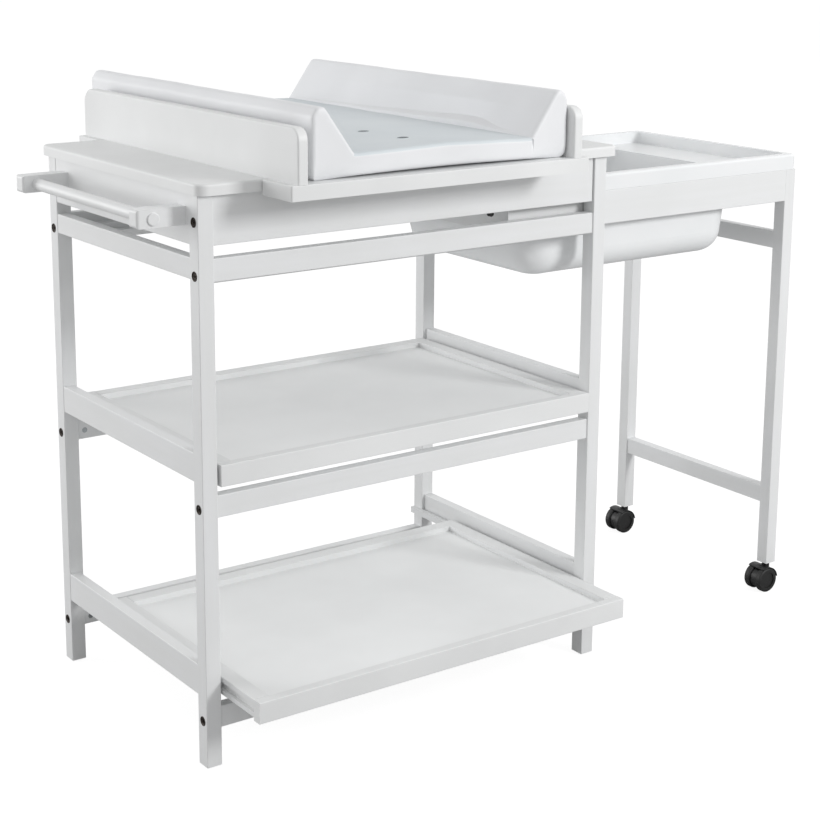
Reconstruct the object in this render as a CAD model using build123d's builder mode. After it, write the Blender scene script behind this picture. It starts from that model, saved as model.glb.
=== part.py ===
from build123d import *
import os

os.makedirs("parts", exist_ok=True)

# Frame of the table: posts, rails and the fixed worktop
frame_width = 816
frame_depth = 532
post_width = 27
post_depth = 28
glide_height = 2
glide_radius = 9
glide_stub_radius = 3
glide_stub_length = 8
worktop_underside = 930
worktop_thickness = 18
worktop_left_overhang = 3
worktop_right_overhang = 19
worktop_front_overhang = 10.5
worktop_back_overhang = 26
worktop_corner = 18
worktop_edge = 4
edge_ease = 1.5

# Rails between the posts, as heights above the floor
rail_thickness = 20
rail_height = 36.5
rail_setback = 3
low_rail_bottom = 65
mid_rail_bottom = 418
upper_rail_bottom = 794.5
apron_height = 79
apron_thickness = 18
apron_end_gap = 3
side_setback = 1
side_apron_height = 78
side_upper_bottom = 798
side_upper_height = 34
side_mid_bottom = 475
side_mid_height = 47
side_low_bottom = 119
side_low_height = 51

# Bolts through the posts and their cross nuts in the rails
bolt_radius = 3
bolt_bore_radius = 3.5
bolt_reach = 57
head_radius = 5
head_height = 5
head_bore_radius = 6
head_bore_depth = 6
socket_radius = 2.3
socket_depth = 3
nut_radius = 5
nut_length = 14
nut_inset = 14
low_bolt_rise = 14
mid_bolt_rise = 16
upper_bolt_rise = 10.5
apron_bolt_drop = 42

# Towel rail on the left
towel_reach = 81.5
bracket_bottom = 881
bracket_height = 29
bracket_width = 29
bracket_rounding = 5
front_bracket_inset = 38.5
back_bracket_inset = 47
rod_radius = 10
rod_height = 894.5
rod_inset = 27
rod_proud = 3

# Sliding trays and their runners
tray_side_gap = 4
tray_back_clearance = 1
tray_proud = 5
tray_front_height = 35.5
tray_front_thickness = 18
tray_side_width = 28
tray_back_width = 28
tray_side_step = 5
tray_recess = 10
tray_floor_thickness = 6
floor_tongue = 6
middle_tray_bottom = 469.5
lower_tray_bottom = 114.3
lower_tray_pulled = 108
runner_height = 12
runner_tongue = 6
runner_clearance = 0.4
runner_end_gap = 1
tray_end_gap = 3

# Changing platform and pad
platform_left = 117.7
platform_width = 556.3
panel_thickness = 18
panel_height = 85.5
panel_front_overhang = 97
panel_back_overhang = 99.6
panel_front_corner = 20
panel_back_corner = 27
board_thickness = 24
board_left_step = 12
board_right_step = 16
board_gap = 1
board_edge = 3
back_board_step = 1
pad_left_gap = 18
pad_width = 501
pad_length = 760
pad_front_overhang = 80
pad_wall_height = 115
pad_left_peak = 26
pad_right_peak = 21
pad_left_valley = 77
pad_right_valley = 76
pad_valley_height = 38
pad_crown = 5
pad_peak_radius = 9
pad_valley_radius = 14
pad_end_radius = 7
pad_foot_radius = 6
soft_clearance = 0.3

# Bath stand that slides out at the right
bath_travel = 455
bath_closed_reach = 63
bath_length = 712
bath_post_gap = 3.5
bath_back_gap = 25
bath_rail_bottom = 801
bath_rail_height = 61
bath_rail_thickness = 20
bath_leg = 26
bath_leg_foot = 57.3
high_bar_bottom = 704
high_bar_height = 33
low_bar_bottom = 182
low_bar_height = 34
bar_thickness = 20
runner_base = 12
runner_lip = 11
slide_clearance = 0.2
bath_bolt_drop = 30
stop_radius = 5
stop_length = 8
stop_inset = 577
stop_height = 846

# Tub that hangs in the bath stand
tub_wall = 3.5
tub_rim_height = 29.5
tub_rim_corner = 9
tub_rim_edge = 5
basin_depth = 182
basin_side_gap = 2.5
basin_side_draft = 8
basin_left_inset = 28
basin_left_draft = 52
basin_right_inset = 121
basin_right_draft = 22
basin_top_corner = 62
basin_foot_corner = 56
basin_foot_rounding = 46
ledge_depth = 24
ledge_inset = 12
ledge_corner = 16

# Twin-wheel casters under the two bath legs
wheel_radius = 25
wheel_width = 14
wheel_edge = 3.5
wheel_offset = 7.6
wheel_dish_radius = 16
wheel_dish_depth = 2
axle_radius = 3
axle_half_length = 19
running_clearance = 0.05
caster_trail = 14
web_half_width = 7
web_radius = 21
hood_gap = 0.5
hood_wall = 1.2
hood_half_width = 21.5
hood_foot = 4
hood_back = 12
boss_radius = 7.4
boss_top = 54
stem_radius = 4
stem_seat = 16
stem_length = 44
socket_wall = 1.5
socket_length = 28
socket_flange_radius = 9
socket_flange = 1.3

# One overrun for all cuts that break through a face
overrun = 5

# Places of the frame, with the origin under the middle of the whole object
bath_stand_out = bath_travel + bath_closed_reach
overall_length = towel_reach + frame_width + bath_stand_out
pad_back_overhang = pad_length - pad_front_overhang - frame_depth
overall_depth = lower_tray_pulled + tray_proud + frame_depth + pad_back_overhang
frame_left = towel_reach - overall_length / 2
frame_right = frame_left + frame_width
frame_front = lower_tray_pulled + tray_proud - overall_depth / 2
frame_back = frame_front + frame_depth
inner_left = frame_left + post_width
inner_right = frame_right - post_width
worktop_top = worktop_underside + worktop_thickness


def keep(piece, label):
    """Name a finished piece and write it."""
    piece.part.label = label
    export_step(piece.part, f"parts/{label}.step")


def middle(span):
    return sum(span) / 2


def length(span):
    return span[1] - span[0]


def board(label, x, y, z, bores=(), slots=()):
    """A planed board between low and high faces, eased along its grain, with its bores and slots."""
    grain = max((Axis.X, x), (Axis.Y, y), (Axis.Z, z), key=lambda item: length(item[1]))[0]
    with BuildPart() as piece:
        with BuildSketch(Plane.XY.offset(z[0])):
            with Locations((middle(x), middle(y))):
                Rectangle(length(x), length(y))
        extrude(amount=length(z))
        fillet(piece.edges().filter_by(grain), edge_ease)
        for plane, radius, depth in bores:
            with BuildSketch(plane):
                Circle(radius)
            extrude(amount=depth, mode=Mode.SUBTRACT)
        for slot_x, slot_y, slot_z in slots:
            with BuildSketch(Plane.XY.offset(slot_z[0])):
                with Locations((middle(slot_x), middle(slot_y))):
                    Rectangle(length(slot_x), length(slot_y))
            extrude(amount=length(slot_z), mode=Mode.SUBTRACT)
    keep(piece, label)


# Rail places: front rails stand back from the post faces, and back rails mirror them
front_rail = (frame_front + rail_setback, frame_front + rail_setback + rail_thickness)
back_rail = (frame_back - rail_setback - rail_thickness, frame_back - rail_setback)
front_apron_y = (frame_front + rail_setback, frame_front + rail_setback + apron_thickness)
back_apron_y = (frame_back - rail_setback - apron_thickness, frame_back - rail_setback)
rail_x = (inner_left, inner_right)
apron_z = (worktop_underside - apron_height, worktop_underside)
low_z = (low_rail_bottom, low_rail_bottom + rail_height)
mid_z = (mid_rail_bottom, mid_rail_bottom + rail_height)
upper_z = (upper_rail_bottom, upper_rail_bottom + rail_height)
low_bolt_height = low_rail_bottom + low_bolt_rise
mid_bolt_height = mid_rail_bottom + mid_bolt_rise
upper_bolt_height = upper_rail_bottom + upper_bolt_rise
apron_bolt_height = worktop_underside - apron_bolt_drop
bolt_heights = (low_bolt_height, mid_bolt_height, upper_bolt_height, apron_bolt_height)
bolt_lines = {"front": middle(front_rail), "back": middle(back_rail)}
outer_faces = {"left": (frame_left, 1), "right": (frame_right, -1)}

# Corner posts, counterbored from outside for the bolts and bored below for the glides
post_z = (glide_height, worktop_underside)
post_x = {"left": (frame_left, inner_left), "right": (inner_right, frame_right)}
post_y = {"front": (frame_front, frame_front + post_depth), "back": (frame_back - post_depth, frame_back)}
for depth_side, bolt_y in bolt_lines.items():
    for width_side, (face, inward) in outer_faces.items():
        stub = Plane((middle(post_x[width_side]), middle(post_y[depth_side]), glide_height))
        post_bores = [(stub, glide_stub_radius, glide_stub_length)]
        for height in bolt_heights:
            entry = Plane((face, bolt_y, height), z_dir=(inward, 0, 0))
            post_bores.append((entry, head_bore_radius, head_bore_depth))
            post_bores.append((entry, bolt_bore_radius, post_width))
        board(f"{depth_side}_{width_side}_post", post_x[width_side], post_y[depth_side], post_z, post_bores)


def end_bores(y, z_bolt, inner_face, inward_y):
    """Bolt bores in both ends of a rail and the cross bores for the nuts."""
    bores = []
    for face, inward in outer_faces.values():
        post_face = face + inward * post_width
        nut_x = post_face + inward * nut_inset
        bores.append((Plane((post_face, y, z_bolt), z_dir=(inward, 0, 0)), bolt_bore_radius, bolt_reach))
        bores.append((Plane((nut_x, inner_face, z_bolt), z_dir=(0, inward_y, 0)), nut_radius, nut_length))
    return bores


# Long rails and aprons, front and back
long_rails = {
    "apron": (apron_z, apron_bolt_height),
    "upper_rail": (upper_z, upper_bolt_height),
    "mid_rail": (mid_z, mid_bolt_height),
    "low_rail": (low_z, low_bolt_height),
}
for name, (z, bolt_height) in long_rails.items():
    front_y = front_apron_y if name == "apron" else front_rail
    back_y = back_apron_y if name == "apron" else back_rail
    front_x = (inner_left, inner_right - apron_end_gap) if name == "apron" else rail_x
    front_cuts = end_bores(bolt_lines["front"], bolt_height, front_y[1], -1)
    back_cuts = end_bores(bolt_lines["back"], bolt_height, back_y[0], 1)
    board(f"front_{name}", front_x, front_y, z, front_cuts)
    board(f"back_{name}", rail_x, back_y, z, back_cuts)

# Side rails between the front and back posts
side_y = (frame_front + post_depth, frame_back - post_depth)
left_rail_x = (frame_left + side_setback, frame_left + side_setback + rail_thickness)
right_rail_x = (frame_right - side_setback - rail_thickness, frame_right - side_setback)
left_apron_x = (frame_left + side_setback, frame_left + side_setback + apron_thickness)
side_apron_z = (worktop_underside - side_apron_height, worktop_underside)
side_mid_z = (side_mid_bottom, side_mid_bottom + side_mid_height)
side_low_z = (side_low_bottom, side_low_bottom + side_low_height)
board("left_apron", left_apron_x, side_y, side_apron_z)
board("left_upper_rail", left_rail_x, side_y, (side_upper_bottom, side_upper_bottom + side_upper_height))
board("left_mid_rail", left_rail_x, side_y, side_mid_z)
board("left_low_rail", left_rail_x, side_y, side_low_z)
board("right_mid_rail", right_rail_x, side_y, side_mid_z)
board("right_low_rail", right_rail_x, side_y, side_low_z)

# Bolts, their heads sunk in the posts
with BuildPart() as frame_bolts:
    for bolt_y in bolt_lines.values():
        for face, inward in outer_faces.values():
            for height in bolt_heights:
                head_face = face + inward * (head_bore_depth - head_height)
                seat = face + inward * head_bore_depth
                with BuildSketch(Plane((head_face, bolt_y, height), z_dir=(inward, 0, 0))):
                    Circle(head_radius)
                extrude(amount=head_height)
                with BuildSketch(Plane((seat, bolt_y, height), z_dir=(inward, 0, 0))):
                    Circle(bolt_radius)
                extrude(amount=bolt_reach - head_bore_depth)
                with BuildSketch(Plane((head_face, bolt_y, height), z_dir=(inward, 0, 0))):
                    RegularPolygon(socket_radius, 6)
                extrude(amount=socket_depth, mode=Mode.SUBTRACT)
keep(frame_bolts, "frame_bolts")

# Cross nuts in the rails, one round each bolt
nut_faces = {"front": -1, "back": 1}
with BuildPart() as barrel_nuts:
    for side, inward_y in nut_faces.items():
        for face, inward in outer_faces.values():
            for height in bolt_heights:
                rail_y = front_rail if side == "front" else back_rail
                if height == apron_bolt_height:
                    rail_y = front_apron_y if side == "front" else back_apron_y
                inner_face = rail_y[1] if side == "front" else rail_y[0]
                nut_x = face + inward * (post_width + nut_inset)
                with BuildSketch(Plane((nut_x, inner_face, height), z_dir=(0, inward_y, 0))):
                    Circle(nut_radius)
                extrude(amount=nut_length)
                start_x = nut_x - nut_radius - overrun
                with BuildSketch(Plane((start_x, bolt_lines[side], height), z_dir=(1, 0, 0))):
                    Circle(bolt_radius)
                extrude(amount=2 * (nut_radius + overrun), mode=Mode.SUBTRACT)
keep(barrel_nuts, "barrel_nuts")

# Nail-in glides under the posts
with BuildPart() as foot_glides:
    for x in post_x.values():
        for y in post_y.values():
            with BuildSketch(Plane((middle(x), middle(y), 0))):
                Circle(glide_radius)
            extrude(amount=glide_height)
            with BuildSketch(Plane((middle(x), middle(y), glide_height))):
                Circle(glide_stub_radius)
            extrude(amount=glide_stub_length)
keep(foot_glides, "foot_glides")

# Worktop with rounded corners and edges
worktop_x = (frame_left - worktop_left_overhang, frame_right + worktop_right_overhang)
worktop_y = (frame_front - worktop_front_overhang, frame_back + worktop_back_overhang)
with BuildPart() as worktop:
    with BuildSketch(Plane.XY.offset(worktop_underside)):
        with Locations((middle(worktop_x), middle(worktop_y))):
            RectangleRounded(length(worktop_x), length(worktop_y), worktop_corner)
    extrude(amount=worktop_thickness)
    fillet(worktop.faces().sort_by(Axis.Z)[-1].edges(), worktop_edge)
keep(worktop, "worktop")

# Towel rail: two blocks on the left apron and the rod through them
bracket_x = (frame_left - towel_reach, left_apron_x[0])
rod_x = bracket_x[0] + rod_inset
front_bracket_y = (frame_front + front_bracket_inset, frame_front + front_bracket_inset + bracket_width)
back_bracket_y = (frame_back - back_bracket_inset - bracket_width, frame_back - back_bracket_inset)
for label, bracket_y in (("front_towel_bracket", front_bracket_y), ("back_towel_bracket", back_bracket_y)):
    with BuildPart() as bracket:
        with BuildSketch(Plane.XY.offset(bracket_bottom)):
            with Locations((middle(bracket_x), middle(bracket_y))):
                Rectangle(length(bracket_x), length(bracket_y))
        extrude(amount=bracket_height)
        fillet(bracket.faces().sort_by(Axis.X)[0].edges(), bracket_rounding)
        with BuildSketch(Plane((rod_x, bracket_y[0] - overrun, rod_height), z_dir=(0, 1, 0))):
            Circle(rod_radius)
        extrude(amount=bracket_width + 2 * overrun, mode=Mode.SUBTRACT)
    keep(bracket, label)
rod_y = (front_bracket_y[0] - rod_proud, back_bracket_y[1] + rod_proud)
with BuildPart() as towel_rod:
    with BuildSketch(Plane((rod_x, rod_y[0], rod_height), z_dir=(0, 1, 0))):
        Circle(rod_radius)
    extrude(amount=length(rod_y))
    fillet(towel_rod.edges(), edge_ease)
keep(towel_rod, "towel_rod")

# Trays: four rails round a thin floor, grooved outside for the runners
tray_depth = tray_proud + frame_depth - post_depth - tray_back_clearance
tray_x = (inner_left + tray_side_gap, inner_right - tray_side_gap)
tray_left_x = (tray_x[0], tray_x[0] + tray_side_width)
tray_right_x = (tray_x[1] - tray_side_width, tray_x[1])
tray_inner_x = (tray_left_x[1], tray_right_x[0])
groove_depth = runner_tongue + runner_clearance
tray_side_height = tray_front_height - tray_side_step
tray_places = {
    "middle_tray": (frame_front - tray_proud, middle_tray_bottom),
    "lower_tray": (frame_front - tray_proud - lower_tray_pulled, lower_tray_bottom),
}
for tray, (front, bottom) in tray_places.items():
    top = bottom + tray_front_height
    side_z = (bottom + tray_side_step, top)
    front_y = (front, front + tray_front_thickness)
    side_run = (front_y[1], front + tray_depth)
    back_y = (front + tray_depth - tray_back_width, front + tray_depth)
    floor_z = (top - tray_recess - tray_floor_thickness, top - tray_recess)
    floor_x = (tray_inner_x[0] - floor_tongue, tray_inner_x[1] + floor_tongue)
    floor_y = (front_y[1] - floor_tongue, back_y[0] + floor_tongue)
    floor_slot = (floor_x, floor_y, floor_z)
    groove_z = (
        middle(side_z) - runner_height / 2 - runner_clearance,
        middle(side_z) + runner_height / 2 + runner_clearance,
    )
    groove_y = (side_run[0], side_run[1] + overrun)
    left_groove = ((tray_x[0] - overrun, tray_x[0] + groove_depth), groove_y, groove_z)
    right_groove = ((tray_x[1] - groove_depth, tray_x[1] + overrun), groove_y, groove_z)
    board(f"{tray}_front", tray_x, front_y, (bottom, top), slots=[floor_slot])
    board(f"{tray}_back", tray_inner_x, back_y, side_z, slots=[floor_slot])
    board(f"{tray}_left_side", tray_left_x, side_run, side_z, slots=[floor_slot, left_groove])
    board(f"{tray}_right_side", tray_right_x, side_run, side_z, slots=[floor_slot, right_groove])
    with BuildPart() as tray_floor:
        with BuildSketch(Plane.XY.offset(floor_z[0])):
            with Locations((middle(floor_x), middle(floor_y))):
                Rectangle(length(floor_x), length(floor_y))
        extrude(amount=tray_floor_thickness)
    keep(tray_floor, f"{tray}_floor")

# Tray runners: four battens on the inner faces of the posts
runner_x = {
    "left": (inner_left, tray_x[0] + runner_tongue),
    "right": (tray_x[1] - runner_tongue, inner_right),
}
runner_front = frame_front - tray_proud + tray_front_thickness + runner_end_gap
runner_y = (runner_front, frame_back - tray_end_gap)
with BuildPart() as tray_runners:
    for _, bottom in tray_places.values():
        runner_mid = bottom + tray_side_step + tray_side_height / 2
        for x in runner_x.values():
            with BuildSketch(Plane.XY.offset(runner_mid - runner_height / 2)):
                with Locations((middle(x), middle(runner_y))):
                    Rectangle(length(x), length(runner_y))
            extrude(amount=runner_height)
keep(tray_runners, "tray_runners")

# Platform side panels, standing on the worktop, with rounded upper corners
panel_y = (frame_front - panel_front_overhang, frame_back + panel_back_overhang)
left_panel_x = (frame_left + platform_left, frame_left + platform_left + panel_thickness)
right_panel_x = (left_panel_x[0] + platform_width - panel_thickness, left_panel_x[0] + platform_width)
for label, panel_x in (("left_panel", left_panel_x), ("right_panel", right_panel_x)):
    with BuildPart() as panel:
        with BuildSketch(Plane.XY.offset(worktop_top)):
            with Locations((middle(panel_x), middle(panel_y))):
                Rectangle(length(panel_x), length(panel_y))
        extrude(amount=panel_height)
        cross_edges = panel.edges().filter_by(Axis.X).group_by(Axis.Z)[-1].sort_by(Axis.Y)
        fillet(cross_edges[0], panel_front_corner)
        cross_edges = panel.edges().filter_by(Axis.X).group_by(Axis.Z)[-1].sort_by(Axis.Y)
        fillet(cross_edges[-1], panel_back_corner)
        outline = panel.faces().sort_by(Axis.X)
        fillet(outline[0].edges().sort_by(Axis.Z)[1:] + outline[-1].edges().sort_by(Axis.Z)[1:], board_edge)
    keep(panel, label)

# Platform boards, butted against the worktop's front and back edges
board_x = (left_panel_x[0] - board_left_step, right_panel_x[1] + board_right_step)
board_z = (worktop_top - board_thickness, worktop_top)
front_board_y = (panel_y[0], worktop_y[0] - board_gap)
back_board_y = (worktop_y[1] + board_gap, panel_y[1] + back_board_step)
for label, board_y in (("front_board", front_board_y), ("back_board", back_board_y)):
    with BuildPart() as platform_board:
        with BuildSketch(Plane.XY.offset(board_z[0])):
            with Locations((middle(board_x), middle(board_y))):
                RectangleRounded(length(board_x), length(board_y), board_edge)
        extrude(amount=board_thickness)
        fillet(platform_board.faces().sort_by(Axis.Z)[-1].edges(), edge_ease)
    keep(platform_board, label)

# Changing pad: side walls, sloping inner faces, a crowned lying surface and rounded ends
pad_x = (left_panel_x[1] + pad_left_gap, left_panel_x[1] + pad_left_gap + pad_width)
pad_front = frame_front - pad_front_overhang
pad_bottom = worktop_top + soft_clearance
pad_peak = pad_bottom + pad_wall_height
pad_valley = pad_bottom + pad_valley_height
pad_middle = (middle(pad_x), pad_valley + pad_crown)
with BuildPart() as changing_pad:
    with BuildSketch(Plane((0, pad_front, 0), x_dir=(1, 0, 0), z_dir=(0, -1, 0))) as pad_section:
        with BuildLine():
            Polyline(
                (pad_x[1] - pad_right_valley, pad_valley),
                (pad_x[1] - pad_right_peak, pad_peak),
                (pad_x[1], pad_peak),
                (pad_x[1], pad_bottom),
                (pad_x[0], pad_bottom),
                (pad_x[0], pad_peak),
                (pad_x[0] + pad_left_peak, pad_peak),
                (pad_x[0] + pad_left_valley, pad_valley),
            )
            ThreePointArc(
                (pad_x[0] + pad_left_valley, pad_valley),
                pad_middle,
                (pad_x[1] - pad_right_valley, pad_valley),
            )
        make_face()
        heights = pad_section.vertices().group_by(Axis.Y)
        fillet(heights[-1], pad_peak_radius)
        fillet(heights[1], pad_valley_radius)
        fillet(heights[0], pad_foot_radius)
    extrude(amount=-pad_length)
    ends = changing_pad.faces().sort_by(Axis.Y)
    fillet(ends[0].edges() + ends[-1].edges(), pad_end_radius)
keep(changing_pad, "changing_pad")

# Bath stand: a rail frame on two legs
bath_right = frame_right + bath_stand_out
bath_left = bath_right - bath_length
bath_front = frame_front + post_depth + bath_post_gap
bath_back = frame_back - post_depth - bath_back_gap
leg_x = (bath_right - bath_leg, bath_right)
front_leg_y = (bath_front, bath_front + bath_leg)
back_leg_y = (bath_back - bath_leg, bath_back)
bath_rail_x = (bath_left, leg_x[0])
bath_front_y = (bath_front, bath_front + bath_rail_thickness)
bath_back_y = (bath_back - bath_rail_thickness, bath_back)
bath_rail_z = (bath_rail_bottom, bath_rail_bottom + bath_rail_height)
bath_bolt_height = bath_rail_z[1] - bath_bolt_drop
rim_bottom = bath_rail_z[1] + slide_clearance
rim_top = rim_bottom + tub_rim_height
stand_rails = (("bath_front_rail", bath_front_y, 1), ("bath_back_rail", bath_back_y, -1))
for label, y, inward_y in stand_rails:
    nut_face = y[1] if inward_y > 0 else y[0]
    bolt_entry = Plane((leg_x[0], middle(y), bath_bolt_height), z_dir=(-1, 0, 0))
    nut_entry = Plane((leg_x[0] - nut_inset, nut_face, bath_bolt_height), z_dir=(0, -inward_y, 0))
    stand_bores = [(bolt_entry, bolt_bore_radius, bolt_reach), (nut_entry, nut_radius, nut_length)]
    board(label, bath_rail_x, y, bath_rail_z, stand_bores)
cross_y = (bath_front_y[1], bath_back_y[0])
board("bath_left_rail", (bath_left, bath_left + bath_rail_thickness), cross_y, bath_rail_z)
bar_x = (middle(leg_x) - bar_thickness / 2, middle(leg_x) + bar_thickness / 2)
bar_y = (front_leg_y[1], back_leg_y[0])
board("bath_right_rail", bar_x, bar_y, bath_rail_z)
board("bath_upper_crossbar", bar_x, bar_y, (high_bar_bottom, high_bar_bottom + high_bar_height))
board("bath_lower_crossbar", bar_x, bar_y, (low_bar_bottom, low_bar_bottom + low_bar_height))

# Bath legs under the tub's rim, bored for the bolt and for the caster socket
socket_radius_outer = stem_radius + running_clearance + socket_wall
legs = (("bath_front_leg", front_leg_y, bath_front_y), ("bath_back_leg", back_leg_y, bath_back_y))
for label, leg_y, rail_y in legs:
    with BuildPart() as leg:
        with BuildSketch(Plane.XY.offset(bath_leg_foot)):
            with Locations((middle(leg_x), middle(leg_y))):
                Rectangle(length(leg_x), length(leg_y))
        extrude(amount=bath_rail_z[1] - bath_leg_foot)
        fillet(leg.edges().filter_by(Axis.Z), edge_ease)
        with BuildSketch(Plane((bath_right, middle(rail_y), bath_bolt_height), z_dir=(-1, 0, 0))):
            Circle(head_bore_radius)
        extrude(amount=head_bore_depth, mode=Mode.SUBTRACT)
        with BuildSketch(Plane((bath_right, middle(rail_y), bath_bolt_height), z_dir=(-1, 0, 0))):
            Circle(bolt_bore_radius)
        extrude(amount=bath_leg, mode=Mode.SUBTRACT)
        with BuildSketch(Plane((middle(leg_x), middle(leg_y), bath_leg_foot))):
            Circle(socket_radius_outer)
        extrude(amount=socket_length, mode=Mode.SUBTRACT)
    keep(leg, label)

# Bolts and cross nuts of the bath stand, and the sockets that hold the casters' stems
with BuildPart() as bath_fittings:
    for _, leg_y, rail_y in legs:
        bolt_y = middle(rail_y)
        inward_y = 1 if rail_y is bath_front_y else -1
        head_face = bath_right - head_bore_depth + head_height
        with BuildSketch(Plane((head_face, bolt_y, bath_bolt_height), z_dir=(-1, 0, 0))):
            Circle(head_radius)
        extrude(amount=head_height)
        with BuildSketch(Plane((bath_right - head_bore_depth, bolt_y, bath_bolt_height), z_dir=(-1, 0, 0))):
            Circle(bolt_radius)
        extrude(amount=bolt_reach - head_bore_depth)
        with BuildSketch(Plane((head_face, bolt_y, bath_bolt_height), z_dir=(-1, 0, 0))):
            RegularPolygon(socket_radius, 6)
        extrude(amount=socket_depth, mode=Mode.SUBTRACT)
        nut_face = rail_y[1] if inward_y > 0 else rail_y[0]
        nut_x = leg_x[0] - nut_inset
        with BuildSketch(Plane((nut_x, nut_face, bath_bolt_height), z_dir=(0, -inward_y, 0))):
            Circle(nut_radius)
        extrude(amount=nut_length)
        centre = (middle(leg_x), middle(leg_y))
        with BuildSketch(Plane((*centre, bath_leg_foot))):
            Circle(socket_radius_outer)
        extrude(amount=socket_length)
        with BuildSketch(Plane((*centre, bath_leg_foot - socket_flange))):
            Circle(socket_flange_radius)
        extrude(amount=socket_flange)
        with BuildSketch(Plane((*centre, bath_leg_foot - socket_flange))):
            Circle(stem_radius + running_clearance)
        extrude(amount=socket_length + socket_flange, mode=Mode.SUBTRACT)
keep(bath_fittings, "bath_fittings")

# Runners that carry the bath stand, screwed behind the upper rails
runner_span = (inner_left + slide_clearance, inner_right - slide_clearance)
base_top = bath_rail_bottom - slide_clearance
front_base_y = (front_rail[1], bath_front_y[1])
front_lip_y = (front_rail[1], bath_front - slide_clearance)
back_base_y = (bath_back_y[0], back_rail[0])
back_lip_y = (bath_back + slide_clearance, back_rail[0])
for label, base_y, lip_y in (
    ("bath_front_runner", front_base_y, front_lip_y),
    ("bath_back_runner", back_base_y, back_lip_y),
):
    with BuildPart() as runner:
        with BuildSketch(Plane.XY.offset(base_top - runner_base)):
            with Locations((middle(runner_span), middle(base_y))):
                Rectangle(length(runner_span), length(base_y))
        extrude(amount=runner_base)
        with BuildSketch(Plane.XY.offset(base_top)):
            with Locations((middle(runner_span), middle(lip_y))):
                Rectangle(length(runner_span), length(lip_y))
        extrude(amount=runner_lip)
    keep(runner, label)

# Round buffer behind the front apron, seen in the slot under it
with BuildPart() as bath_buffer:
    with BuildSketch(Plane((frame_left + stop_inset, front_apron_y[1], stop_height), z_dir=(0, 1, 0))):
        Circle(stop_radius)
    extrude(amount=stop_length)
    fillet(bath_buffer.faces().sort_by(Axis.Y)[-1].edges(), edge_ease)
keep(bath_buffer, "bath_buffer")

# Tub: a hollow rim over the stand's rails and legs, and a drafted basin under a shallow step
# that runs all round and widens into a ledge at the right
rim_x = (bath_left, bath_right)
rim_y = (bath_front, bath_back)
basin_top_x = (rim_x[0] + basin_left_inset, rim_x[1] - basin_right_inset)
basin_top_y = (bath_front_y[1] + basin_side_gap, bath_back_y[0] - basin_side_gap)
basin_foot_x = (basin_top_x[0] + basin_left_draft, basin_top_x[1] - basin_right_draft)
basin_foot_y = (basin_top_y[0] + basin_side_draft, basin_top_y[1] - basin_side_draft)
basin_foot = rim_top - basin_depth
ledge_x = (rim_x[0] + ledge_inset, rim_x[1] - ledge_inset)
ledge_y = (rim_y[0] + ledge_inset, rim_y[1] - ledge_inset)
ledge_z = rim_top - ledge_depth


def basin(foot_z, top_z, inset):
    """The drafted body of the basin with a rounded foot, drawn in by the inset all round."""
    with BuildPart() as body:
        with BuildSketch(Plane.XY.offset(foot_z)):
            with Locations((middle(basin_foot_x), middle(basin_foot_y))):
                foot_sizes = (length(basin_foot_x) - 2 * inset, length(basin_foot_y) - 2 * inset)
                RectangleRounded(*foot_sizes, basin_foot_corner - inset)
        with BuildSketch(Plane.XY.offset(top_z)):
            with Locations((middle(basin_top_x), middle(basin_top_y))):
                top_sizes = (length(basin_top_x) - 2 * inset, length(basin_top_y) - 2 * inset)
                RectangleRounded(*top_sizes, basin_top_corner - inset)
        loft(ruled=True)
        fillet(body.faces().sort_by(Axis.Z)[0].edges(), basin_foot_rounding - inset)
    return body


basin_outside = basin(basin_foot, rim_top - tub_wall, 0)
basin_cavity = basin(basin_foot + tub_wall, rim_top, tub_wall)
with BuildPart() as tub:
    with BuildSketch(Plane.XY.offset(rim_bottom)):
        with Locations((middle(rim_x), middle(rim_y))):
            RectangleRounded(length(rim_x), length(rim_y), tub_rim_corner)
    extrude(amount=tub_rim_height)
    fillet(tub.faces().sort_by(Axis.Z)[-1].edges(), tub_rim_edge)
    with BuildSketch(Plane.XY.offset(rim_bottom)):
        with Locations((middle(rim_x), middle(rim_y))):
            Rectangle(length(rim_x) - 2 * tub_wall, length(rim_y) - 2 * tub_wall)
    extrude(amount=tub_rim_height - tub_wall, mode=Mode.SUBTRACT)
    add(basin_outside.part)
    with BuildSketch(Plane.XY.offset(ledge_z - tub_wall)):
        with Locations((middle(ledge_x), middle(ledge_y))):
            RectangleRounded(length(ledge_x), length(ledge_y), ledge_corner)
    extrude(amount=ledge_depth)
    add(basin_cavity.part, mode=Mode.SUBTRACT)
    with BuildSketch(Plane.XY.offset(ledge_z)):
        with Locations((middle(ledge_x), middle(ledge_y))):
            ledge_sizes = (length(ledge_x) - 2 * tub_wall, length(ledge_y) - 2 * tub_wall)
            RectangleRounded(*ledge_sizes, ledge_corner - tub_wall)
    extrude(amount=ledge_depth + overrun, mode=Mode.SUBTRACT)
keep(tub, "tub")

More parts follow.
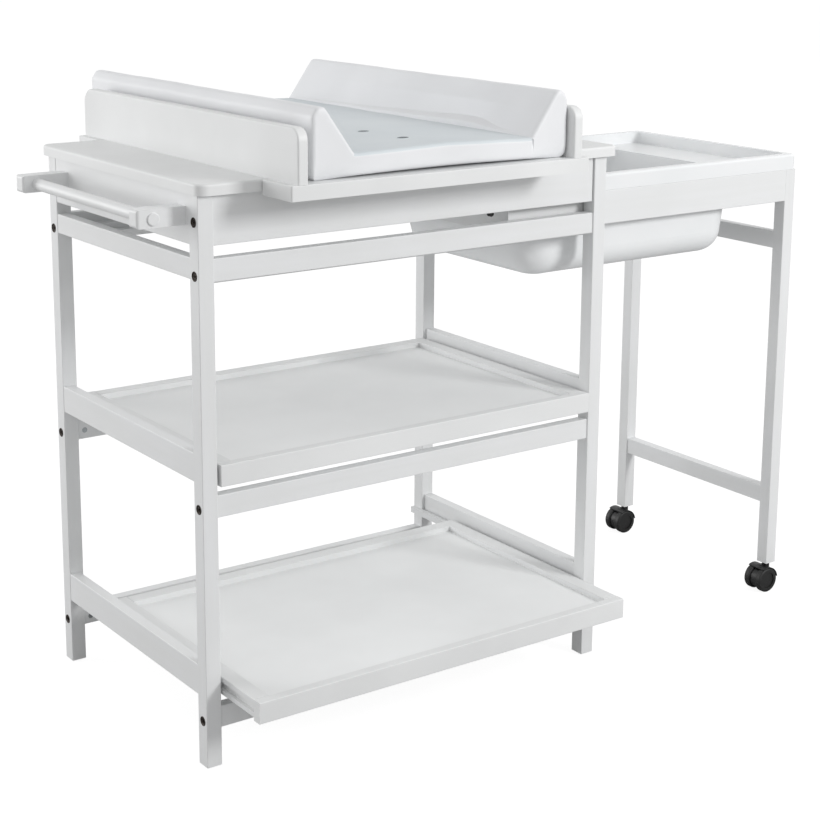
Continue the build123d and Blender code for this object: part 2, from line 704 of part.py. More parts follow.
# Casters: a hooded body, a stem and an axle, and two wheels, behind each leg
for side, leg_y in (("front", front_leg_y), ("back", back_leg_y)):
    stem_x = middle(leg_x)
    wheel_x = stem_x - caster_trail
    caster_y = middle(leg_y)
    hood_inner = wheel_radius + hood_gap
    stem_foot = boss_top - stem_seat
    with BuildPart() as caster_body:
        with BuildSketch(Plane((wheel_x, caster_y - web_half_width, wheel_radius), z_dir=(0, 1, 0))):
            Circle(web_radius)
        extrude(amount=2 * web_half_width)
        with BuildSketch(Plane((stem_x, caster_y, wheel_radius))):
            Circle(boss_radius - running_clearance)
        extrude(amount=boss_top - wheel_radius)
        with BuildSketch(Plane.XY.offset(wheel_radius)):
            with Locations(((wheel_x + stem_x) / 2, caster_y)):
                Rectangle(caster_trail, 2 * web_half_width)
        extrude(amount=hood_inner + hood_wall / 2)
        hood_centre = (wheel_x, caster_y + hood_half_width, wheel_radius)
        with BuildSketch(Plane(hood_centre, x_dir=(1, 0, 0), z_dir=(0, -1, 0))):
            Circle(hood_inner + hood_wall)
            Circle(hood_inner, mode=Mode.SUBTRACT)
            with Locations((0, -hood_inner)):
                Rectangle(4 * hood_inner, 2 * (hood_inner + hood_foot), mode=Mode.SUBTRACT)
            with Locations((-2 * hood_inner - hood_back, 0)):
                Rectangle(4 * hood_inner, 4 * hood_inner, mode=Mode.SUBTRACT)
        extrude(amount=2 * hood_half_width)
        with BuildSketch(Plane((wheel_x, caster_y - web_half_width, wheel_radius), z_dir=(0, 1, 0))):
            Circle(axle_radius)
        extrude(amount=2 * web_half_width, mode=Mode.SUBTRACT)
        with BuildSketch(Plane((stem_x, caster_y, stem_foot))):
            Circle(stem_radius)
        extrude(amount=stem_seat + overrun, mode=Mode.SUBTRACT)
    keep(caster_body, f"{side}_caster_body")
    with BuildPart() as caster_pins:
        with BuildSketch(Plane((stem_x, caster_y, stem_foot))):
            Circle(stem_radius)
        extrude(amount=stem_length)
        with BuildSketch(Plane((wheel_x, caster_y - axle_half_length, wheel_radius), z_dir=(0, 1, 0))):
            Circle(axle_radius)
        extrude(amount=2 * axle_half_length)
    keep(caster_pins, f"{side}_caster_pins")
    with BuildPart() as caster_wheels:
        for outward in (-1, 1):
            inner_face = caster_y + outward * wheel_offset
            outer_face = inner_face + outward * wheel_width
            with BuildSketch(Plane((wheel_x, inner_face, wheel_radius), z_dir=(0, outward, 0))):
                Circle(wheel_radius)
            extrude(amount=wheel_width)
            rims = caster_wheels.edges().filter_by(GeomType.CIRCLE).sort_by(Axis.Y)
            fillet(rims[:2] if outward < 0 else rims[-2:], wheel_edge)
            with BuildSketch(Plane((wheel_x, outer_face, wheel_radius), z_dir=(0, -outward, 0))):
                Circle(wheel_dish_radius)
            extrude(amount=wheel_dish_depth, mode=Mode.SUBTRACT)
            with BuildSketch(Plane((wheel_x, inner_face, wheel_radius), z_dir=(0, outward, 0))):
                Circle(axle_radius + running_clearance)
            bore_depth = axle_half_length - wheel_offset + running_clearance
            extrude(amount=bore_depth, mode=Mode.SUBTRACT)
    keep(caster_wheels, f"{side}_caster_wheels")
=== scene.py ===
import math

import bpy
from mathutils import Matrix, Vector, noise


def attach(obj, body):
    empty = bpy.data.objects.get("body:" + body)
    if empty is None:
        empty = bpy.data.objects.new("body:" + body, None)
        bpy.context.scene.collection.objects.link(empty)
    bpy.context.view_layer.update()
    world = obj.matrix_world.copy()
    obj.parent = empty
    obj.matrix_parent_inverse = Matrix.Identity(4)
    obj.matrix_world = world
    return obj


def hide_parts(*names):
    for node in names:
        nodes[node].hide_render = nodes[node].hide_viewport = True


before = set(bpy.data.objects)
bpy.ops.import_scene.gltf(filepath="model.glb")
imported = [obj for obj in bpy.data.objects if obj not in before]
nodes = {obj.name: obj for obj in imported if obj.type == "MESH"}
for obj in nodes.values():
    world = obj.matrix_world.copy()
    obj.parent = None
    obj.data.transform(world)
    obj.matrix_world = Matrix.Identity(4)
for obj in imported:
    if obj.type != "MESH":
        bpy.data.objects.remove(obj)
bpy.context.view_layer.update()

# Camera: left of the front, a little above the table, set from the photo's own straight edges
lens = bpy.data.cameras.new("camera")
lens.sensor_width = 36
lens.lens = 77.3938
lens.shift_x = 0.03027
lens.shift_y = -0.15
camera = bpy.data.objects.new("camera", lens)
camera.location = (-1.8841, -2.5796, 1.34598)
camera_turn = (77.99357, -0.2112, -34.83946)
camera.rotation_euler = tuple(math.radians(turn) for turn in camera_turn)
bpy.context.scene.collection.objects.link(camera)
bpy.context.scene.camera = camera
bpy.context.scene.view_settings.view_transform = "Standard"

# Studio: a white surround, a pale floor that keeps the shadow, a lamp from the right of the
# front, small enough to leave clear soft shadows, and a larger one low behind the left side


def linear(code):
    """Turn an sRGB hex colour into the linear colour that a shader takes."""
    shares = [int(code[start:start + 2], 16) / 255 for start in (0, 2, 4)]
    straight = [share / 12.92 if share <= 0.04045 else ((share + 0.055) / 1.055) ** 2.4
                for share in shares]
    return (*straight, 1)


def add(tree, kind, inputs=None, **settings):
    """Add a node with its settings, and give each input a value or a link."""
    item = tree.nodes.new(kind)
    for name, value in settings.items():
        setattr(item, name, value)
    for socket, value in (inputs or {}).items():
        if isinstance(value, bpy.types.NodeSocket):
            tree.links.new(value, item.inputs[socket])
        else:
            item.inputs[socket].default_value = value
    return item


def blank(name):
    """Make an empty material and return it with its node tree."""
    material = bpy.data.materials.new(name)
    material.use_nodes = True
    material.node_tree.nodes.clear()
    return material, material.node_tree


surround = bpy.data.worlds.new("surround")
surround.use_nodes = True
surround.node_tree.nodes.clear()
rays = add(surround.node_tree, "ShaderNodeLightPath")
seen = add(surround.node_tree, "ShaderNodeMath", {0: rays.outputs["Is Camera Ray"],
           1: rays.outputs["Is Glossy Ray"]}, operation="MAXIMUM")
seen = add(surround.node_tree, "ShaderNodeMath", {0: seen.outputs[0],
           1: rays.outputs["Is Transmission Ray"]}, operation="MAXIMUM")
level = add(surround.node_tree, "ShaderNodeMapRange",
            {"Value": seen.outputs[0], "To Min": 0.585, "To Max": 1.0})
glow = add(surround.node_tree, "ShaderNodeBackground",
           {"Color": linear("ffffff"), "Strength": level.outputs[0]})
add(surround.node_tree, "ShaderNodeOutputWorld", {"Surface": glow.outputs[0]})
bpy.context.scene.world = surround

floor_half, floor_height = 40, -0.0006
floor_mesh = bpy.data.meshes.new("floor")
floor_mesh.from_pydata([(floor_half * x, floor_half * y, floor_height)
                        for x, y in ((-1, -1), (1, -1), (1, 1), (-1, 1))], [], [(0, 1, 2, 3)])
floor = bpy.data.objects.new("floor", floor_mesh)
bpy.context.scene.collection.objects.link(floor)
studio_floor, tree = blank("studio_floor")
rays = add(tree, "ShaderNodeLightPath")
paint = add(tree, "ShaderNodeBsdfDiffuse", {"Color": linear("bcbcbc")})
glow = add(tree, "ShaderNodeEmission", {"Color": linear("ffffff"), "Strength": 1.5})
share = add(tree, "ShaderNodeMath", {0: rays.outputs["Is Camera Ray"], 1: 0.61},
            operation="MULTIPLY")
mixed = add(tree, "ShaderNodeMixShader",
            {"Fac": share.outputs[0], 1: paint.outputs[0], 2: glow.outputs[0]})
add(tree, "ShaderNodeOutputMaterial", {"Surface": mixed.outputs[0]})
floor_mesh.materials.append(studio_floor)

# Each lamp's place, side length in metres and power in watts
lamps = {
    "lamp_right": ((1.5, -3.4, 2.2), 0.9, 71),
    "lamp_back": ((-3.2, 3.0, 1.5), 2.2, 75),
}
lamp_aim = Vector((0, 0, 0.6))
for name, (place, size, power) in lamps.items():
    lamp = bpy.data.lights.new(name, "AREA")
    lamp.size = size
    lamp.energy = power
    holder = bpy.data.objects.new(name, lamp)
    holder.location = place
    holder.rotation_euler = (lamp_aim - Vector(place)).to_track_quat("-Z", "Y").to_euler()
    bpy.context.scene.collection.objects.link(holder)

# Posts: planed solid beech under white lacquer, bolted to the rails.
# The lacquer is sprayed thin, so the long fibres still stand faintly proud along each piece.


def two_tone(tree, value, deep, pale, low=0.3, high=0.7):
    """Add a ramp from a deep to a pale colour between two values, and return its colour."""
    ramp = add(tree, "ShaderNodeValToRGB", {"Fac": value})
    for stop, place, code in zip(ramp.color_ramp.elements, (low, high), (deep, pale)):
        stop.position = place
        stop.color = linear(code)
    return ramp.outputs[0]


def lacquered_beech(grain):
    """White lacquer over solid beech: satin, with fibres along the grain and changes of tone."""
    material, tree = blank(f"lacquered_beech_{grain}")
    place = add(tree, "ShaderNodeTexCoord")
    run = {"x": (0.05, 1, 1), "y": (1, 0.05, 1), "z": (1, 1, 0.05)}[grain]
    along = add(tree, "ShaderNodeMapping", {"Vector": place.outputs["Object"], "Scale": run})
    fibres = add(tree, "ShaderNodeTexNoise",
                 {"Vector": along.outputs[0], "Scale": 420, "Detail": 4, "Roughness": 0.6})
    sweep = add(tree, "ShaderNodeTexNoise", {"Vector": along.outputs[0], "Scale": 60, "Detail": 2})
    spray = add(tree, "ShaderNodeTexNoise",
                {"Vector": place.outputs["Object"], "Scale": 900, "Detail": 1})
    cloud = add(tree, "ShaderNodeTexNoise",
                {"Vector": place.outputs["Object"], "Scale": 7, "Detail": 2})
    tone = add(tree, "ShaderNodeMath",
               {0: sweep.outputs["Fac"], 1: cloud.outputs["Fac"]}, operation="MULTIPLY")
    colour = two_tone(tree, tone.outputs[0], "e8e9e9", "ecedee", 0.12, 0.42)
    gloss = add(tree, "ShaderNodeMapRange",
                {"Value": fibres.outputs["Fac"], "To Min": 0.34, "To Max": 0.46})
    relief = add(tree, "ShaderNodeBump",
                 {"Height": fibres.outputs["Fac"], "Strength": 0.22, "Distance": 0.0003})
    relief = add(tree, "ShaderNodeBump",
                 {"Height": spray.outputs["Fac"], "Normal": relief.outputs[0],
                  "Strength": 0.1, "Distance": 0.0002})
    surface = add(tree, "ShaderNodeBsdfPrincipled",
                  {"Base Color": colour, "Roughness": gloss.outputs[0],
                   "Normal": relief.outputs[0], "IOR": 1.5})
    add(tree, "ShaderNodeOutputMaterial", {"Surface": surface.outputs[0]})
    return material


def dress(names, material):
    """Give CAD pieces their material."""
    for name in names:
        nodes[name].data.materials.clear()
        nodes[name].data.materials.append(material)


# Lacquered beech with upright grain, for posts and legs
beech_upright = lacquered_beech("z")
dress(("front_left_post", "front_right_post", "back_left_post", "back_right_post"), beech_upright)

# Long rails and aprons between the posts, the same lacquered beech with its grain along the table.
# The two runners of the bath stand are screwed behind the upper rails.
beech_long = lacquered_beech("x")
dress([f"{side}_{name}" for side in ("front", "back")
       for name in ("apron", "upper_rail", "mid_rail", "low_rail")], beech_long)
dress(("bath_front_runner", "bath_back_runner"), beech_long)

# Side rails and the left apron, lacquered beech with its grain from front to back.
# The tray runners are battens of the same wood on the posts' inner faces.
beech_deep = lacquered_beech("y")
dress(("left_apron", "left_upper_rail", "left_mid_rail", "left_low_rail",
       "right_mid_rail", "right_low_rail", "tray_runners"), beech_deep)

# Towel rail: two beech blocks glued to the left apron and a turned rod pushed through them,
# with ends that stand a little proud.
dress(("front_towel_bracket", "back_towel_bracket"), beech_long)
dress(("towel_rod",), beech_deep)

# Worktop, trays and changing platform: fibreboard with rolled white enamel.
# The roller leaves a fine stipple, about 1.5 mm across, that softens the reflections.


def rolled_enamel(name, deep, pale, roughness):
    """White enamel rolled on board: a film with a fine stipple and slight changes of sheen."""
    material, tree = blank(name)
    place = add(tree, "ShaderNodeTexCoord")
    stipple = add(tree, "ShaderNodeTexNoise",
                  {"Vector": place.outputs["Object"], "Scale": 650, "Detail": 2})
    cloud = add(tree, "ShaderNodeTexNoise",
                {"Vector": place.outputs["Object"], "Scale": 5, "Detail": 3})
    colour = two_tone(tree, cloud.outputs["Fac"], deep, pale)
    gloss = add(tree, "ShaderNodeMapRange",
                {"Value": cloud.outputs["Fac"],
                 "To Min": roughness - 0.05, "To Max": roughness + 0.05})
    relief = add(tree, "ShaderNodeBump",
                 {"Height": stipple.outputs["Fac"], "Strength": 0.14, "Distance": 0.0003})
    surface = add(tree, "ShaderNodeBsdfPrincipled",
                  {"Base Color": colour, "Roughness": gloss.outputs[0],
                   "Normal": relief.outputs[0], "IOR": 1.5})
    add(tree, "ShaderNodeOutputMaterial", {"Surface": surface.outputs[0]})
    return material


# Rolled enamel on fibreboard, satin
enamelled_board = rolled_enamel("enamelled_board", "e6e7e7", "eeefef", 0.48)
dress(("worktop", "left_panel", "right_panel", "front_board", "back_board"), enamelled_board)
dress([f"{tray}_{piece}" for tray in ("middle_tray", "lower_tray")
       for piece in ("front", "back", "left_side", "right_side")], enamelled_board)

# Tray floors: thin hardboard with a matt white facing. Their colour is brighter than the rolled
# enamel, partly for the facing and partly as painted light from above the front.
# They lie in grooves of the tray's four sides.
faced_hardboard_painted_light = rolled_enamel("faced_hardboard_painted_light", "f1f2f2", "f8f9f9", 0.62)
dress(("middle_tray_floor", "lower_tray_floor"), faced_hardboard_painted_light)

# Cross nuts in the rails and the pins of the casters: steel with a zinc plating,
# whose crystals give a fine uneven sheen.
zinc_plate, tree = blank("zinc_plate")
place = add(tree, "ShaderNodeTexCoord")
spangle = add(tree, "ShaderNodeTexVoronoi", {"Vector": place.outputs["Object"], "Scale": 600})
colour = two_tone(tree, spangle.outputs["Distance"], "8f9396", "b9bdc0", 0, 1)
gloss = add(tree, "ShaderNodeMapRange",
            {"Value": spangle.outputs["Distance"], "To Min": 0.28, "To Max": 0.42})
surface = add(tree, "ShaderNodeBsdfPrincipled",
              {"Base Color": colour, "Roughness": gloss.outputs[0], "Metallic": 1.0})
add(tree, "ShaderNodeOutputMaterial", {"Surface": surface.outputs[0]})
dress(("barrel_nuts", "front_caster_pins", "back_caster_pins"), zinc_plate)

# Bolts of the frame and the bath stand: blackened steel, oiled, with a socket in the head.
# Their heads show as dark dots on the posts.
blackened_steel, tree = blank("blackened_steel")
place = add(tree, "ShaderNodeTexCoord")
scale = add(tree, "ShaderNodeTexNoise",
            {"Vector": place.outputs["Object"], "Scale": 900, "Detail": 3})
colour = two_tone(tree, scale.outputs["Fac"], "231f1d", "4a423d", 0.3, 0.75)
gloss = add(tree, "ShaderNodeMapRange",
            {"Value": scale.outputs["Fac"], "To Min": 0.35, "To Max": 0.6})
relief = add(tree, "ShaderNodeBump",
             {"Height": scale.outputs["Fac"], "Strength": 0.2, "Distance": 0.0001})
surface = add(tree, "ShaderNodeBsdfPrincipled",
              {"Base Color": colour, "Roughness": gloss.outputs[0],
               "Normal": relief.outputs[0], "Metallic": 0.85})
add(tree, "ShaderNodeOutputMaterial", {"Surface": surface.outputs[0]})
dress(("frame_bolts", "bath_fittings"), blackened_steel)

# Cup washers of the same steel, pressed in round the bolt heads: each is a low ring that
# slopes down into the bore, so a bolt shows as a dark round of 16 mm.


def ring_stack(points, faces, rings, count, place):
    """Add rings of (radius, lift) round an axis and the faces between them.

    place turns two measures across the axis and one along it into a point."""
    first = len(points)
    for radius, lift in rings:
        for step in range(count):
            turn = 2 * math.pi * step / count
            points.append(place(radius * math.cos(turn), radius * math.sin(turn), lift))
    for ring in range(len(rings) - 1):
        for step in range(count):
            low, high = first + ring * count, first + (ring + 1) * count
            following = (step + 1) % count
            faces.append((low + step, low + following, high + following, high + step))


def cup_washers(name, places, body):
    """Rings round bolt heads, at places (x, y, z) on faces that look along +X or -X."""
    rings = ((0.008, -0.0002), (0.0079, 0.0006), (0.0072, 0.0009), (0.0062, 0.0004),
             (0.0052, -0.0008))
    points, faces = [], []
    for x, y, z in places:
        outward = math.copysign(1, x)
        ring_stack(points, faces, rings, 28, lambda across, rise, lift:
                   (x + outward * lift, y + across, z + outward * rise))
    mesh = bpy.data.meshes.new(name)
    mesh.from_pydata(points, [], faces)
    for polygon in mesh.polygons:
        polygon.use_smooth = True
    mesh.materials.append(blackened_steel)
    washers = bpy.data.objects.new(name, mesh)
    bpy.context.scene.collection.objects.link(washers)
    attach(washers, body)


post_faces, post_rows = (-0.62625, 0.18975), (-0.2705, 0.2355)
bolt_heights = (0.079, 0.434, 0.805, 0.888)
leg_face, leg_rows, leg_bolt_height = 0.70775, (-0.242, 0.1855), 0.832
cup_washers("frame_washers",
            [(x, y, z) for x in post_faces for y in post_rows for z in bolt_heights], "table")
cup_washers("bath_washers", [(leg_face, y, leg_bolt_height) for y in leg_rows], "bath_stand")

# Glides nailed in under the posts: moulded grey polyethylene with the fine matt texture
# of the mould.


def moulded(name, deep, pale, roughness, grit):
    """Moulded plastic or rubber: an even colour with a fine texture from the mould."""
    material, tree = blank(name)
    place = add(tree, "ShaderNodeTexCoord")
    texture = add(tree, "ShaderNodeTexNoise",
                  {"Vector": place.outputs["Object"], "Scale": 1 / grit, "Detail": 2})
    cloud = add(tree, "ShaderNodeTexNoise",
                {"Vector": place.outputs["Object"], "Scale": 25, "Detail": 2})
    colour = two_tone(tree, cloud.outputs["Fac"], deep, pale)
    gloss = add(tree, "ShaderNodeMapRange",
                {"Value": texture.outputs["Fac"],
                 "To Min": roughness - 0.05, "To Max": roughness + 0.08})
    relief = add(tree, "ShaderNodeBump",
                 {"Height": texture.outputs["Fac"], "Strength": 0.15, "Distance": 0.0002})
    surface = add(tree, "ShaderNodeBsdfPrincipled",
                  {"Base Color": colour, "Roughness": gloss.outputs[0],
                   "Normal": relief.outputs[0], "IOR": 1.5})
    add(tree, "ShaderNodeOutputMaterial", {"Surface": surface.outputs[0]})
    return material


dress(("foot_glides",), moulded("grey_polyethylene", "8d8f90", "999b9c", 0.5, 0.0012))

# Buffer in the slot under the front apron: a small plug of black rubber that the bath stand
# may rest against.
dress(("bath_buffer",), moulded("black_rubber", "161616", "1e1e1e", 0.65, 0.0008))

# Changing pad: a foam wedge tray in a white wipe-clean cover, welded along its end seams.
# The cover is drawn tight, sinks into a fold along the foot of the right wall, bows up a little
# under both ends, and has two round vents in the lying surface.
pad_left, pad_right = -0.47255, 0.02845
pad_front, pad_back = -0.3635, 0.3965
pad_bottom, pad_top = 0.9483, 1.0625
pad_lie = pad_bottom + 0.038
crown, crown_round = 0.005, 0.3
cheek_drop, cheek_round = 0.016, 0.014
brow_inset, brow_drop, brow_round = 0.009, 0.003, 0.01
crest_round = 0.0128
left_peak, left_valley, left_valley_round = 0.0225, 0.077, 0.004
right_peak, right_valley, right_valley_round = 0.0215, 0.076, 0.0015
roll_run, roll_rise, roll_round = 0.001, 0.01, 0.006
fold_run, fold_rise, fold_round = 0.021, 0.017, 0.002
shoulder_rise, shoulder_bulge, shoulder_round = 0.044, 0.002, 0.02
fold_start, fold_end, fold_swell, fold_fade, fold_ease = 0.02, 0.98, 0.22, 0.7, 0.8
fold_least = 0.3
foot_round, foot_shares = 0.009, (1, 0.45, 0.12)
foot_bow, bow_reach = 0.0045, 0.12
front_round, back_round = 0.0055, 0.009


def rounded(corners, steps):
    """Round each corner of a line of (x, z, radius) points by a small arc."""
    line = []
    for index, (x, z, radius) in enumerate(corners):
        here = Vector((x, z))
        if radius == 0:
            line.append(here)
            continue
        back = (Vector(corners[index - 1][:2]) - here).normalized()
        on = (Vector(corners[index + 1][:2]) - here).normalized()
        half = back.angle(on) / 2
        reach = radius / math.tan(half)
        start, end = here + back * reach, here + on * reach
        for step in range(steps + 1):
            share = step / steps
            line.append((1 - share) ** 2 * start + 2 * share * (1 - share) * here
                        + share ** 2 * end)
    return line


def parted(line, parts):
    """Divide each run of a line into its number of parts."""
    points = [line[0]]
    for start, end, count in zip(line, line[1:], parts):
        points += [start.lerp(end, part / count) for part in range(1, count + 1)]
    return points


def pad_line(fold):
    """The pad's upper line between its outer faces, with the depth of the fold as a share.

    The fold is larger where it is deeper, so it runs out thin at its ends."""
    size = fold_least + (1 - fold_least) * fold ** 2
    left_foot = Vector((pad_left + left_valley, pad_lie))
    right_foot = Vector((pad_right - right_valley, pad_lie))
    slope = Vector((pad_right - right_peak, pad_top)) - right_foot
    flat_roll, flat_crease = slope * (roll_rise / slope.y), slope * (fold_rise / slope.y)
    roll = right_foot + flat_roll.lerp(Vector((roll_run, roll_rise)), fold) * size
    crease = right_foot + flat_crease.lerp(Vector((fold_run, fold_rise)), fold) * size
    shoulder = right_foot + slope * (shoulder_rise / slope.y)
    shoulder += Vector((-slope.y, slope.x)).normalized() * shoulder_bulge * fold
    middle = (left_foot + right_foot) / 2 + Vector((0, crown))
    return rounded([
        (pad_left, pad_bottom, 0),
        (pad_left, pad_top - cheek_drop, cheek_round),
        (pad_left + brow_inset, pad_top - brow_drop, brow_round),
        (pad_left + left_peak, pad_top, crest_round),
        (*left_foot, left_valley_round),
        (*middle, crown_round),
        (*right_foot, right_valley_round),
        (*roll, roll_round * size),
        (*crease, fold_round),
        (*shoulder, shoulder_round),
        (pad_right - right_peak, pad_top, crest_round),
        (pad_right - brow_inset, pad_top - brow_drop, brow_round),
        (pad_right, pad_top - cheek_drop, cheek_round),
        (pad_right, pad_bottom, 0),
    ], 4)[1:-1]


def drawn_in(line, inset):
    """Move the points of an upper line inwards, square to the line."""
    apart = 0.0005
    moved = []
    for place, here in enumerate(line):
        before = [point for point in line[:place] if (point - here).length > apart]
        after = [point for point in line[place + 1:] if (point - here).length > apart]
        into = (here - before[-1]).normalized() if before else Vector((0, 1))
        away = (after[0] - here).normalized() if after else Vector((0, -1))
        along = (into + away).normalized()
        moved.append(here + Vector((along.y, -along.x)) * inset)
    return moved


def end_inset(y):
    """How far the rounded ends draw the upper line in at a place along the pad."""
    for reach, radius in ((y - pad_front, front_round), (pad_back - y, back_round)):
        if reach < radius:
            return radius - math.sqrt(radius ** 2 - (radius - reach) ** 2)
    return 0


def fold_depth(y):
    """How deep the fold is along the pad: none at both ends, most near the front third."""
    share = (y - pad_front) / (pad_back - pad_front)
    if share <= fold_start or share >= fold_end:
        return 0
    rise = min(1, (share - fold_start) / fold_swell)
    return rise * rise * (3 - 2 * rise) * min(1, (fold_end - share) / fold_fade) ** fold_ease


# The cover's grid: columns across the pad, rows along it, closer near the ends, and levels up
# its outer faces
column_step, row_step, slack = 0.012, 0.0125, 0.01
plain = pad_line(0)
parts = [max(1, math.ceil((end - start).length / column_step - slack))
         for start, end in zip(plain, plain[1:])]
plain = parted(plain, parts)
valleys = [min(range(len(plain)), key=lambda place: (plain[place] - Vector((x, pad_lie))).length)
           for x in (pad_left + left_valley, pad_right - right_valley)]
edge_steps = (0, 0.0012, 0.0035, 0.009, 0.019)
inner_length = pad_back - pad_front - 2 * edge_steps[-1]
spans = math.ceil(inner_length / row_step)
stations = [pad_front + step for step in edge_steps[:-1]]
stations += [pad_front + edge_steps[-1] + inner_length * span / spans for span in range(spans + 1)]
stations += [pad_back - step for step in reversed(edge_steps[:-1])]
columns, rows = len(plain) - 1, len(stations) - 1
heights = [0, 0.045, 0.12, 0.27, 0.45, 0.63, 0.81, 0.93, 1]
top_level = len(heights) - 1
points, index, lying = [], {}, set()
for row, y in enumerate(stations):
    line = drawn_in(parted(pad_line(fold_depth(y)), parts), end_inset(y))
    for column, upper in enumerate(line):
        reach = (upper.x - pad_left) / (pad_right - pad_left)
        near_end = max(0, 1 - min(y - pad_front, pad_back - y) / bow_reach)
        bow = foot_bow * math.sin(math.pi * reach) * near_end
        for level, share in enumerate(heights):
            if column in (0, columns) or row in (0, rows) or level in (0, top_level):
                inset = foot_round * foot_shares[level] if level < len(foot_shares) else 0
                x = min(max(upper.x, pad_left + inset), pad_right - inset)
                depth = min(max(y, pad_front + inset), pad_back - inset)
                index[column, row, level] = len(points)
                points.append((x, depth, pad_bottom + bow + (upper.y - pad_bottom - bow) * share))
faces = []


def patch(flip, *corners):
    """Add a face over four points of the grid, turned over where it looks the other way."""
    ring = [index[corner] for corner in corners]
    faces.append(ring[::-1] if flip else ring)


for row in range(rows):
    for column in range(columns):
        if valleys[0] <= column < valleys[1]:
            lying.add(len(faces))
        for level, flip in ((top_level, False), (0, True)):
            patch(flip, (column, row, level), (column + 1, row, level),
                  (column + 1, row + 1, level), (column, row + 1, level))
    for level in range(top_level):
        for column, flip in ((0, True), (columns, False)):
            patch(flip, (column, row, level), (column, row + 1, level),
                  (column, row + 1, level + 1), (column, row, level + 1))
for column in range(columns):
    for level in range(top_level):
        for row, flip in ((0, False), (rows, True)):
            patch(flip, (column, row, level), (column + 1, row, level),
                  (column + 1, row, level + 1), (column, row, level + 1))
cover_mesh = bpy.data.meshes.new("pad_cover")
cover_mesh.from_pydata(points, [], faces)
cover_mesh.update()
cover = bpy.data.objects.new("pad_cover", cover_mesh)
bpy.context.scene.collection.objects.link(cover)

# The foam presses the cover outwards a little between its welded seams, which stay in place
swell_frames, swell_limit = 20, 0.004
held = cover.vertex_groups.new(name="seams")
held.add([place for (column, row, level), place in index.items()
          if level == 0 or (row in (0, rows) and (column in (0, columns) or level == top_level))
          or (column in valleys and level == top_level)], 1, "REPLACE")
cloth = cover.modifiers.new("stuffing", "CLOTH")
cloth.settings.use_pressure = True
cloth.settings.uniform_pressure_force = 4
cloth.settings.effector_weights.gravity = 0
cloth.settings.vertex_group_mass = "seams"
cloth.settings.tension_stiffness = 30
cloth.settings.compression_stiffness = 30
cloth.settings.bending_stiffness = 4
for moment in range(1, swell_frames + 1):
    bpy.context.scene.frame_set(moment)
swollen = cover.evaluated_get(bpy.context.evaluated_depsgraph_get())
moved = [vertex.co.copy() for vertex in swollen.data.vertices]
cover.modifiers.remove(cloth)
for vertex, place in zip(cover_mesh.vertices, moved):
    step = place - vertex.co
    vertex.co += step * min(1, swell_limit / max(step.length, 1e-9))
bpy.context.scene.frame_set(1)

# Slight unevenness of the foam, and the short crease down the front from the right valley
wave_height, wave_rate, front_skin = 0.0009, 11, 0.002
front_wave_height, front_wave_rate, front_wave_shift = 0.0007, 14, Vector((3, 0, 0))
crease_dents, crease_lip = (0.008, 0.0065, 0.004, 0.0018), 0.12
for vertex in cover_mesh.vertices:
    if vertex.co.z > pad_bottom + foot_round:
        vertex.co.z += wave_height * noise.noise(vertex.co * wave_rate)
        if vertex.co.y < pad_front + front_skin:
            wave = noise.noise(vertex.co * front_wave_rate + front_wave_shift)
            vertex.co.y += front_wave_height * wave
for drop, dent in enumerate(crease_dents):
    cover_mesh.vertices[index[valleys[1], 0, top_level - drop]].co.y += dent
    for side in (-1, 1):
        beside = index[valleys[1] + side, 0, top_level - drop]
        cover_mesh.vertices[beside].co.y -= dent * crease_lip
for polygon in cover_mesh.polygons:
    polygon.use_smooth = True

# One level of subdivision, which rounds the facets of the grid
cover.modifiers.new("cover", "SUBSURF").levels = 1
cover.modifiers["cover"].render_levels = 1


def vinyl(name, deep, pale):
    """Vinyl-coated cloth: satin, with an embossed grain of about 1.2 mm and shallow ripples."""
    material, tree = blank(name)
    place = add(tree, "ShaderNodeTexCoord")
    grain = add(tree, "ShaderNodeTexVoronoi", {"Vector": place.outputs["Object"], "Scale": 800})
    ripple = add(tree, "ShaderNodeTexNoise",
                 {"Vector": place.outputs["Object"], "Scale": 22, "Detail": 3})
    cloud = add(tree, "ShaderNodeTexNoise",
                {"Vector": place.outputs["Object"], "Scale": 6, "Detail": 2})
    colour = two_tone(tree, cloud.outputs["Fac"], deep, pale)
    gloss = add(tree, "ShaderNodeMapRange",
                {"Value": ripple.outputs["Fac"], "To Min": 0.44, "To Max": 0.58})
    relief = add(tree, "ShaderNodeBump",
                 {"Height": ripple.outputs["Fac"], "Strength": 0.25, "Distance": 0.0012})
    relief = add(tree, "ShaderNodeBump",
                 {"Height": grain.outputs["Distance"], "Normal": relief.outputs[0],
                  "Strength": 0.12, "Distance": 0.0002})
    surface = add(tree, "ShaderNodeBsdfPrincipled",
                  {"Base Color": colour, "Roughness": gloss.outputs[0],
                   "Normal": relief.outputs[0], "IOR": 1.53})
    add(tree, "ShaderNodeOutputMaterial", {"Surface": surface.outputs[0]})
    return material


# White coated cloth on the walls and ends, a cool grey one on the lying surface. That grey is
# partly a bluish tint of the cloth and partly painted shade from the walls around it
cover_mesh.materials.append(vinyl("vinyl_cloth", "eaebed", "f0f1f3"))
cover_mesh.materials.append(vinyl("grey_vinyl_and_painted_shade", "d3dade", "dbe1e4"))
for place in lying:
    cover_mesh.polygons[place].material_index = 1
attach(cover, "pad")
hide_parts("changing_pad")

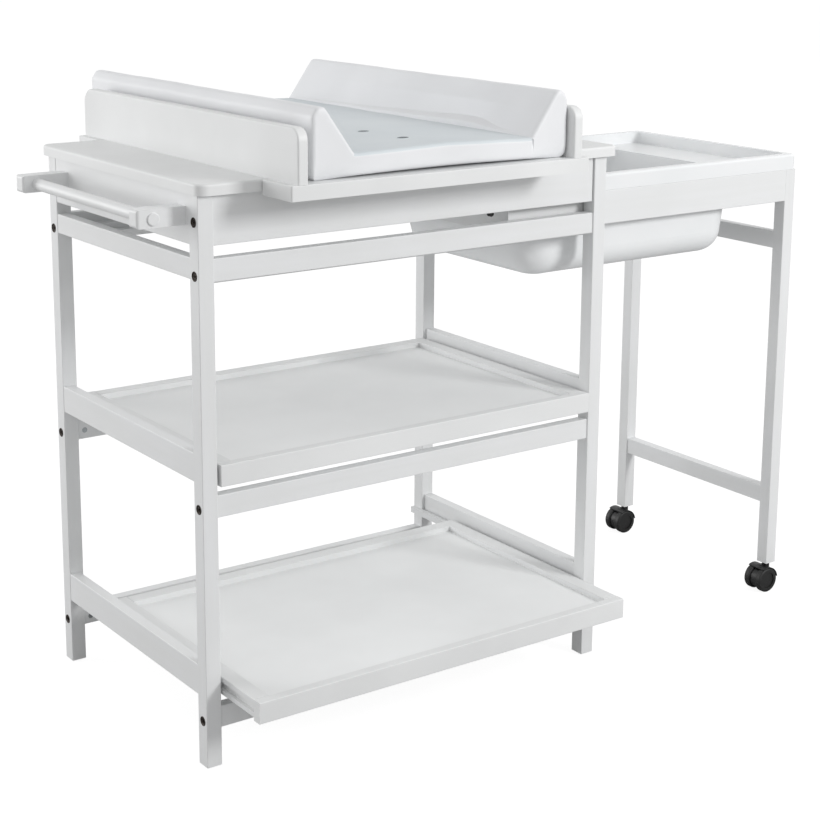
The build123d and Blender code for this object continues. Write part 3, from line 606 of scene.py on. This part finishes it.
# Two vents in the pad's lying surface: round eyelets of about 20 mm with a lip welded to the
# cover. The foam shows grey and shaded inside them.
vent_places = ((-0.25025, -0.1715), (-0.24525, -0.2775))
vent_rings = ((0.0116, -0.0004), (0.0109, 0.0006), (0.0099, 0.0007), (0.0094, 0.0003))
around, above = 32, 0.1
shape = cover.evaluated_get(bpy.context.evaluated_depsgraph_get())
points, faces, dark = [], [], []
for x, y in vent_places:
    _, spot, upward, _ = shape.ray_cast(Vector((x, y, pad_top + above)), Vector((0, 0, -1)))
    lean = Vector((0, 0, 1)).rotation_difference(upward)
    ring_stack(points, faces, vent_rings, around, lambda across, along, lift:
               spot + lean @ Vector((across, along, lift)))
    dark.append(len(faces))
    faces.append(list(range(len(points) - around, len(points))))
vent_mesh = bpy.data.meshes.new("pad_vents")
vent_mesh.from_pydata(points, [], faces)
for polygon in vent_mesh.polygons:
    polygon.use_smooth = polygon.index not in dark
    polygon.material_index = int(polygon.index in dark)
vents = bpy.data.objects.new("pad_vents", vent_mesh)
bpy.context.scene.collection.objects.link(vents)
# The lips take the lying surface's grey cloth, with its painted shade
vent_mesh.materials.append(cover_mesh.materials[1])
vent_mesh.materials.append(moulded("shaded_foam", "6c7275", "7a8083", 0.8, 0.0015))
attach(vents, "pad")

# Bath stand: beech rails bolted between two legs, lacquered like the frame.
# It slides on the runners behind the upper rails.
dress(("bath_front_rail", "bath_back_rail"), beech_long)
dress(("bath_left_rail", "bath_right_rail", "bath_upper_crossbar", "bath_lower_crossbar"),
      beech_deep)
dress(("bath_front_leg", "bath_back_leg"), beech_upright)

# Tub: white polypropylene, injection moulded, with a gloss from the polished mould and
# the slight waves of a large thin wall. It hangs by its rim on the stand.
polypropylene, tree = blank("polypropylene")
place = add(tree, "ShaderNodeTexCoord")
flow = add(tree, "ShaderNodeTexNoise", {"Vector": place.outputs["Object"], "Scale": 9, "Detail": 2})
colour = two_tone(tree, flow.outputs["Fac"], "f0f2f3", "f4f5f6")
gloss = add(tree, "ShaderNodeMapRange",
            {"Value": flow.outputs["Fac"], "To Min": 0.2, "To Max": 0.28})
relief = add(tree, "ShaderNodeBump",
             {"Height": flow.outputs["Fac"], "Strength": 0.1, "Distance": 0.002})
surface = add(tree, "ShaderNodeBsdfPrincipled",
              {"Base Color": colour, "Roughness": gloss.outputs[0],
               "Normal": relief.outputs[0], "IOR": 1.49})
add(tree, "ShaderNodeOutputMaterial", {"Surface": surface.outputs[0]})
dress(("tub",), polypropylene)

# Casters: twin wheels under a hood of black nylon, pushed into sockets in the legs.
# The wheels have a slightly duller tread of hard rubber.
black_nylon = moulded("black_nylon", "111112", "19191a", 0.42, 0.0009)
dress(("front_caster_body", "back_caster_body"), black_nylon)
black_tyre = moulded("black_tyre", "0d0d0d", "141414", 0.5, 0.0009)
dress(("front_caster_wheels", "back_caster_wheels"), black_tyre)
